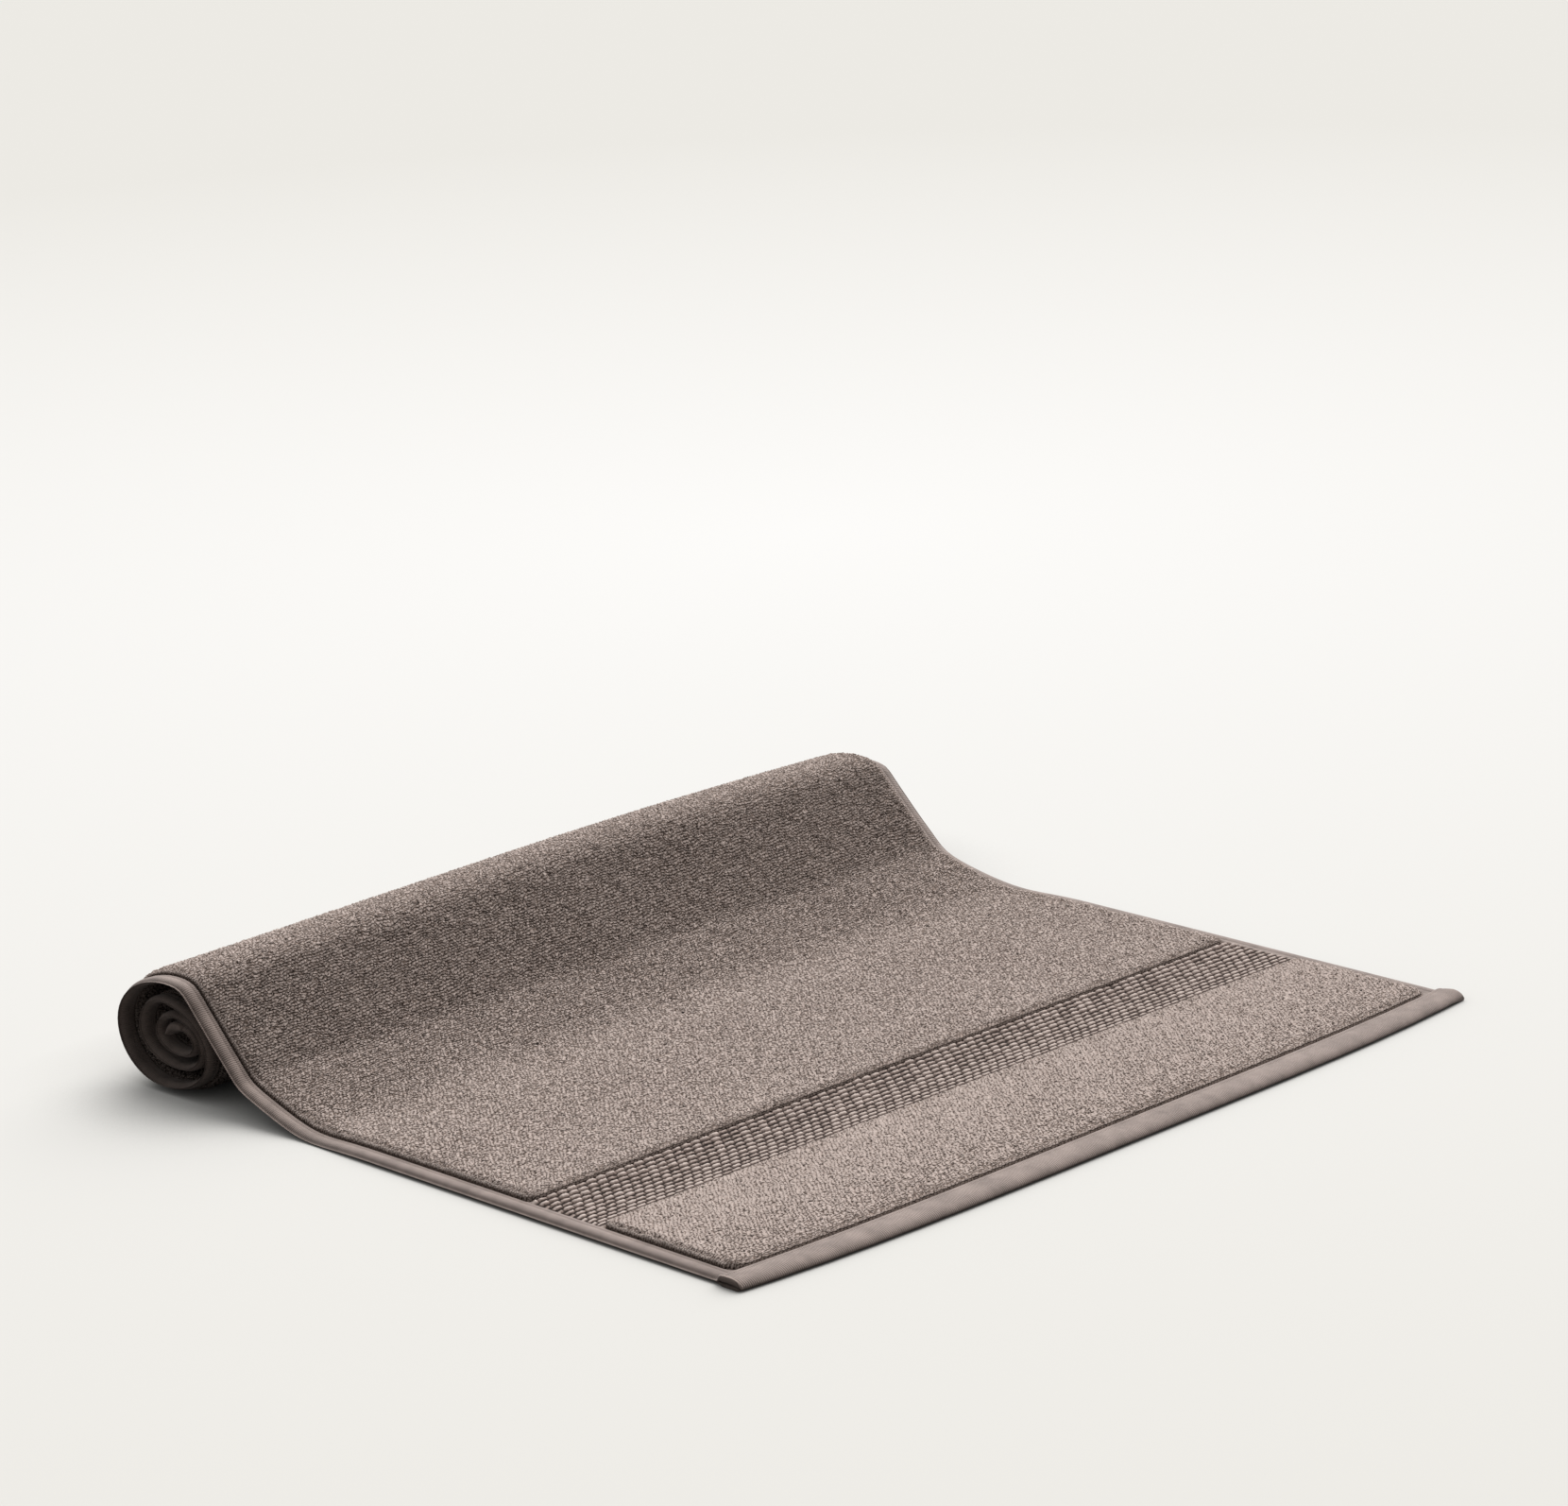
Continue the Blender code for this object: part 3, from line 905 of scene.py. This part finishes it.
def band_weave():
    """Thick soft cotton wefts laid flat: matt and finely fuzzy, with painted shade near black in the gaps
    between bars.
    """
    material, tree = new_material("band_weave")
    weave = add_node(tree, "ShaderNodeUVMap", {}, uv_map="weave").outputs["UV"]
    yarn = add_node(
        tree,
        "ShaderNodeTexNoise",
        {"Vector": weave, "Scale": 1.0 / (YARN_MM * MM), "Detail": 3.0},
        noise_dimensions="2D",
    ).outputs["Fac"]
    bump = add_node(
        tree,
        "ShaderNodeBump",
        {"Height": yarn, "Distance": YARN_RELIEF_MM * MM, "Strength": 0.8},
    ).outputs["Normal"]
    tip = add_node(tree, "ShaderNodeAttribute", {}, attribute_name="tip").outputs["Fac"]
    shade = add_node(tree, "ShaderNodeMath", {0: yarn, 1: YARN_SHARE, 2: tip}, operation="MULTIPLY_ADD")
    stops = [(0.2, "#150d0a"), (0.5, "#695b55"), (0.85, "#a0938d"), (1.0, "#b2a6a0")]
    shader = add_node(
        tree,
        "ShaderNodeBsdfPrincipled",
        {
            "Base Color": colour_ramp(tree, shade.outputs["Value"], stops),
            "Roughness": 0.95,
            "Specular IOR Level": 0.1,
            "Normal": bump,
            "Sheen Weight": 0.1,
            "Sheen Roughness": 0.6,
            "Sheen Tint": linear_colour("#d4c4ba"),
        },
    )
    add_node(tree, "ShaderNodeOutputMaterial", {"Surface": shader.outputs["BSDF"]})
    return material


def band_piece(name, woven, columns, rolled, face=1):
    """A piece of a band on one face of the cloth, near its flat end or inside the roll."""
    length, inset, height, tip = (values[:, columns] for values in woven)
    piece = lay_flat_grid(name, length.shape[1], length.shape[0])
    column, row = grid_places(piece, length.shape[1], length.shape[0])[:2]
    length, inset, height, tip = (values[row, column] for values in (length, inset, height, tip))
    if rolled:
        length = TOTAL - length
    if face < 0:
        height = pile_at(length) - height
    shape_piece(piece, on_cloth(length, inset, height), "weave", inset * MM, length * MM)
    if rolled != (face < 0):
        piece.data.flip_normals()
    set_tip_shading(piece, tip)
    settle(piece, wefts)
    return piece


wefts = band_weave()
band = weave_band(seed=21)
band_columns = band[0].shape[1]
band_strip = round(END_STRIP / BAR_ACROSS) * POINTS_IN_BAR + 1
band_pieces = [band_piece("band", band, slice(0, band_columns), False)]
band_strips = {
    "near": slice(0, band_strip),
    "far": slice(band_columns - band_strip, band_columns),
}
for side, columns in band_strips.items():
    band_pieces += [
        band_piece("rolled_band_" + side, band, columns, True),
        band_piece("rolled_band_back_" + side, band, columns, True, -1),
    ]

# Studio: a pale seamless floor and a pale wall behind it, and a broad soft light from behind and over the
# roll, to the right. The side towards the camera gets only a little fill.
FLOOR_SIZE = 24.0
# The floor is paler round a point behind the mat: a painted pool of light. For the camera it also glows,
# fading where things stand on it: painted light and painted shadow.
PAINTED_LIGHT_AT = (-0.8, 0.8, 0.0)
PAINTED_LIGHT_REACH = 1.9
PAINTED_GLOW_SHARE = 0.45
PAINTED_GLOW_STRENGTH = 1.5
CONTACT_SHADE_REACH = 0.07
CONTACT_SHADE_DARKNESS = 1.6
CONTACT_SHADE_SAMPLES = 8

bpy.ops.object.select_all(action="DESELECT")
bpy.ops.mesh.primitive_plane_add(size=FLOOR_SIZE)
floor = bpy.context.active_object
floor.name = "floor"


def floor_paint_and_painted_glow():
    """Matt paint on a seamless floor, with a painted pool of light behind the mat and a painted glow.
    Little of its light goes back on the mat.
    """
    material, tree = new_material("floor_paint_and_painted_glow")
    # Paler near a point behind the mat: a painted pool of light.
    place = add_node(tree, "ShaderNodeTexCoord", {}).outputs["Object"]
    away = add_node(tree, "ShaderNodeVectorMath", {0: place, 1: PAINTED_LIGHT_AT}, operation="DISTANCE")
    reach = add_node(tree, "ShaderNodeMath", {0: away.outputs["Value"], 1: PAINTED_LIGHT_REACH}, operation="DIVIDE")
    tone = colour_ramp(tree, reach.outputs["Value"], [(0.0, "#cfcfce"), (1.0, "#c1c0bc")])
    lit = add_node(tree, "ShaderNodeBsdfDiffuse", {"Color": tone}).outputs["BSDF"]
    # The glow fades near things standing on the floor: painted contact shadow.
    open_air = add_node(
        tree,
        "ShaderNodeAmbientOcclusion",
        {"Distance": CONTACT_SHADE_REACH},
        samples=CONTACT_SHADE_SAMPLES,
    ).outputs["AO"]
    reached = add_node(tree, "ShaderNodeMath", {0: open_air, 1: CONTACT_SHADE_DARKNESS}, operation="POWER")
    strength = add_node(
        tree,
        "ShaderNodeMath",
        {0: reached.outputs["Value"], 1: PAINTED_GLOW_STRENGTH},
        operation="MULTIPLY",
    ).outputs["Value"]
    # For the camera the floor partly glows: painted light.
    painted_glow = add_node(tree, "ShaderNodeEmission", {"Color": tone, "Strength": strength}).outputs["Emission"]
    seen = add_node(tree, "ShaderNodeMixShader", {0: PAINTED_GLOW_SHARE, 1: lit, 2: painted_glow}).outputs["Shader"]
    unseen = add_node(tree, "ShaderNodeBsdfDiffuse", {"Color": linear_colour("#5c5a58")}).outputs["BSDF"]
    path = add_node(tree, "ShaderNodeLightPath", {})
    mixed = add_node(
        tree,
        "ShaderNodeMixShader",
        {0: path.outputs["Is Camera Ray"], 1: unseen, 2: seen},
    )
    add_node(tree, "ShaderNodeOutputMaterial", {"Surface": mixed.outputs["Shader"]})
    return material


floor.data.materials.append(floor_paint_and_painted_glow())

KEY_PLACE = (-0.33, 0.72, 0.85)
KEY_WIDTH = math.radians(75)
KEY_STRENGTH = 6.2
KEY_COLOUR = (1.0, 0.98, 0.965)
FILL = 0.2

bpy.ops.object.light_add(type="SUN", location=KEY_PLACE)
key = bpy.context.active_object
key.name = "broad_soft_light"
key.rotation_euler = Vector(KEY_PLACE).to_track_quat("Z", "Y").to_euler()
key.data.angle = KEY_WIDTH
key.data.energy = KEY_STRENGTH
key.data.color = KEY_COLOUR

world = bpy.data.worlds.new("pale_studio")
world.use_nodes = True
studio = world.node_tree
studio.nodes.clear()
fill = add_node(studio, "ShaderNodeBackground", {"Color": linear_colour("#fffefc"), "Strength": FILL})
wall = add_node(studio, "ShaderNodeBackground", {"Color": linear_colour("#eceae5"), "Strength": 1.0})
view = add_node(studio, "ShaderNodeLightPath", {})
around = add_node(
    studio,
    "ShaderNodeMixShader",
    {0: view.outputs["Is Camera Ray"], 1: fill.outputs["Background"], 2: wall.outputs["Background"]},
)
add_node(studio, "ShaderNodeOutputWorld", {"Surface": around.outputs["Shader"]})
bpy.context.scene.world = world
bpy.context.scene.view_settings.view_transform = "Standard"
